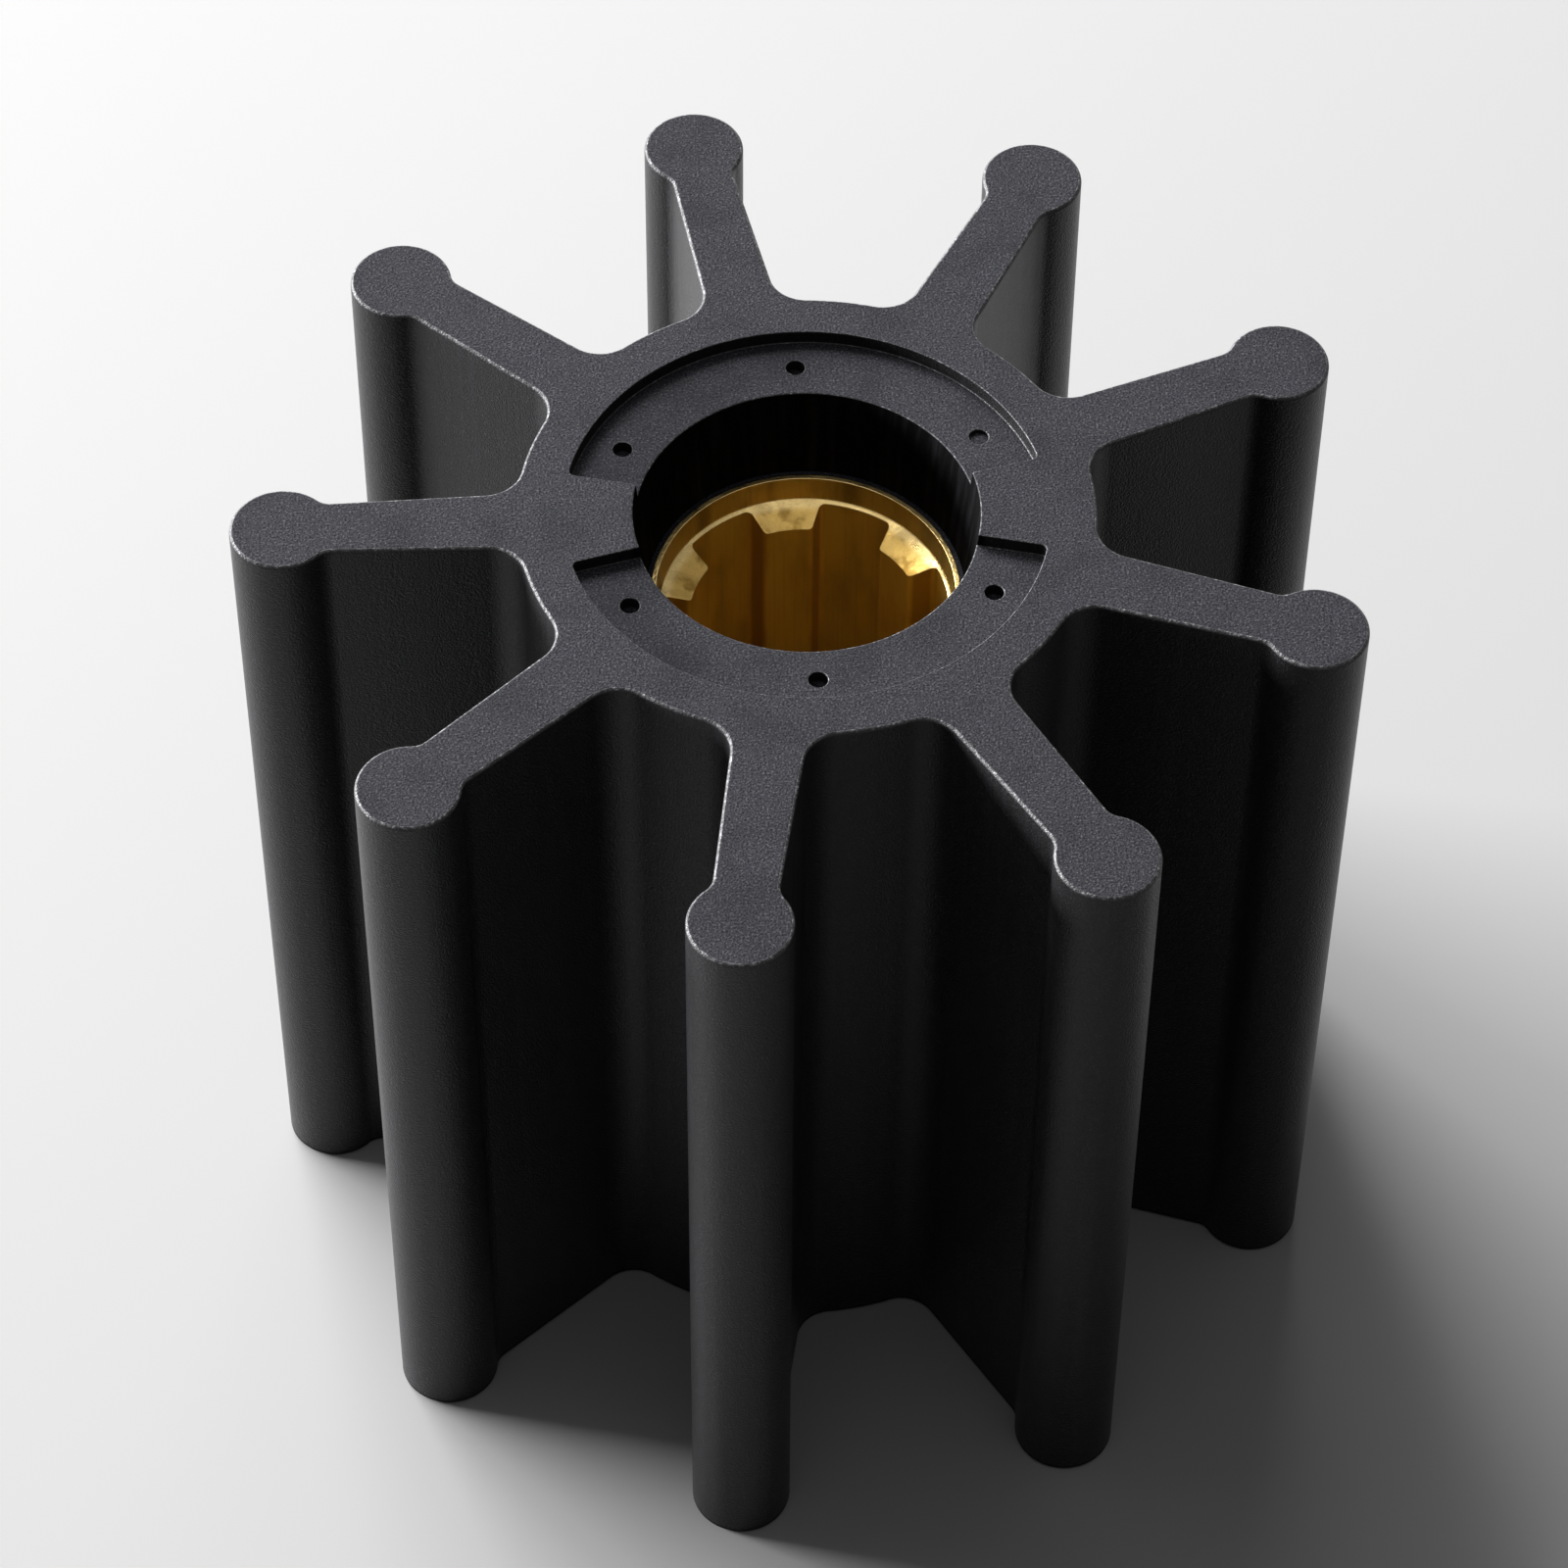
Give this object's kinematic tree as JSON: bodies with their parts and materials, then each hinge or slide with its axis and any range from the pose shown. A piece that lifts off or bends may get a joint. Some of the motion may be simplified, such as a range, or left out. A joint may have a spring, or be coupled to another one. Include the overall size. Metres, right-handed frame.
{
  "type": "rubber pump impeller",
  "caption": "Flexible rubber pump impeller: a round hub with straight radial vanes that end in round bulbs, on a splined brass insert.",
  "frame": {"origin": "on the shaft axis, in the plane of the lower end face", "axes": "+Z along the shaft axis towards the upper end face; one vane points along -X, and the bridges across the end recesses lie on the X axis"},
  "size_m": [0.0924, 0.0936, 0.083],
  "materials": {
    "rubber": "satin moulded rubber with a fine grain, charcoal",
    "brass": "machined brass, bright on the turned faces"
  },
  "bodies": {
    "root": {"rubber_body": "rubber", "splined_insert": "brass"}
  },
  "joints": []
}
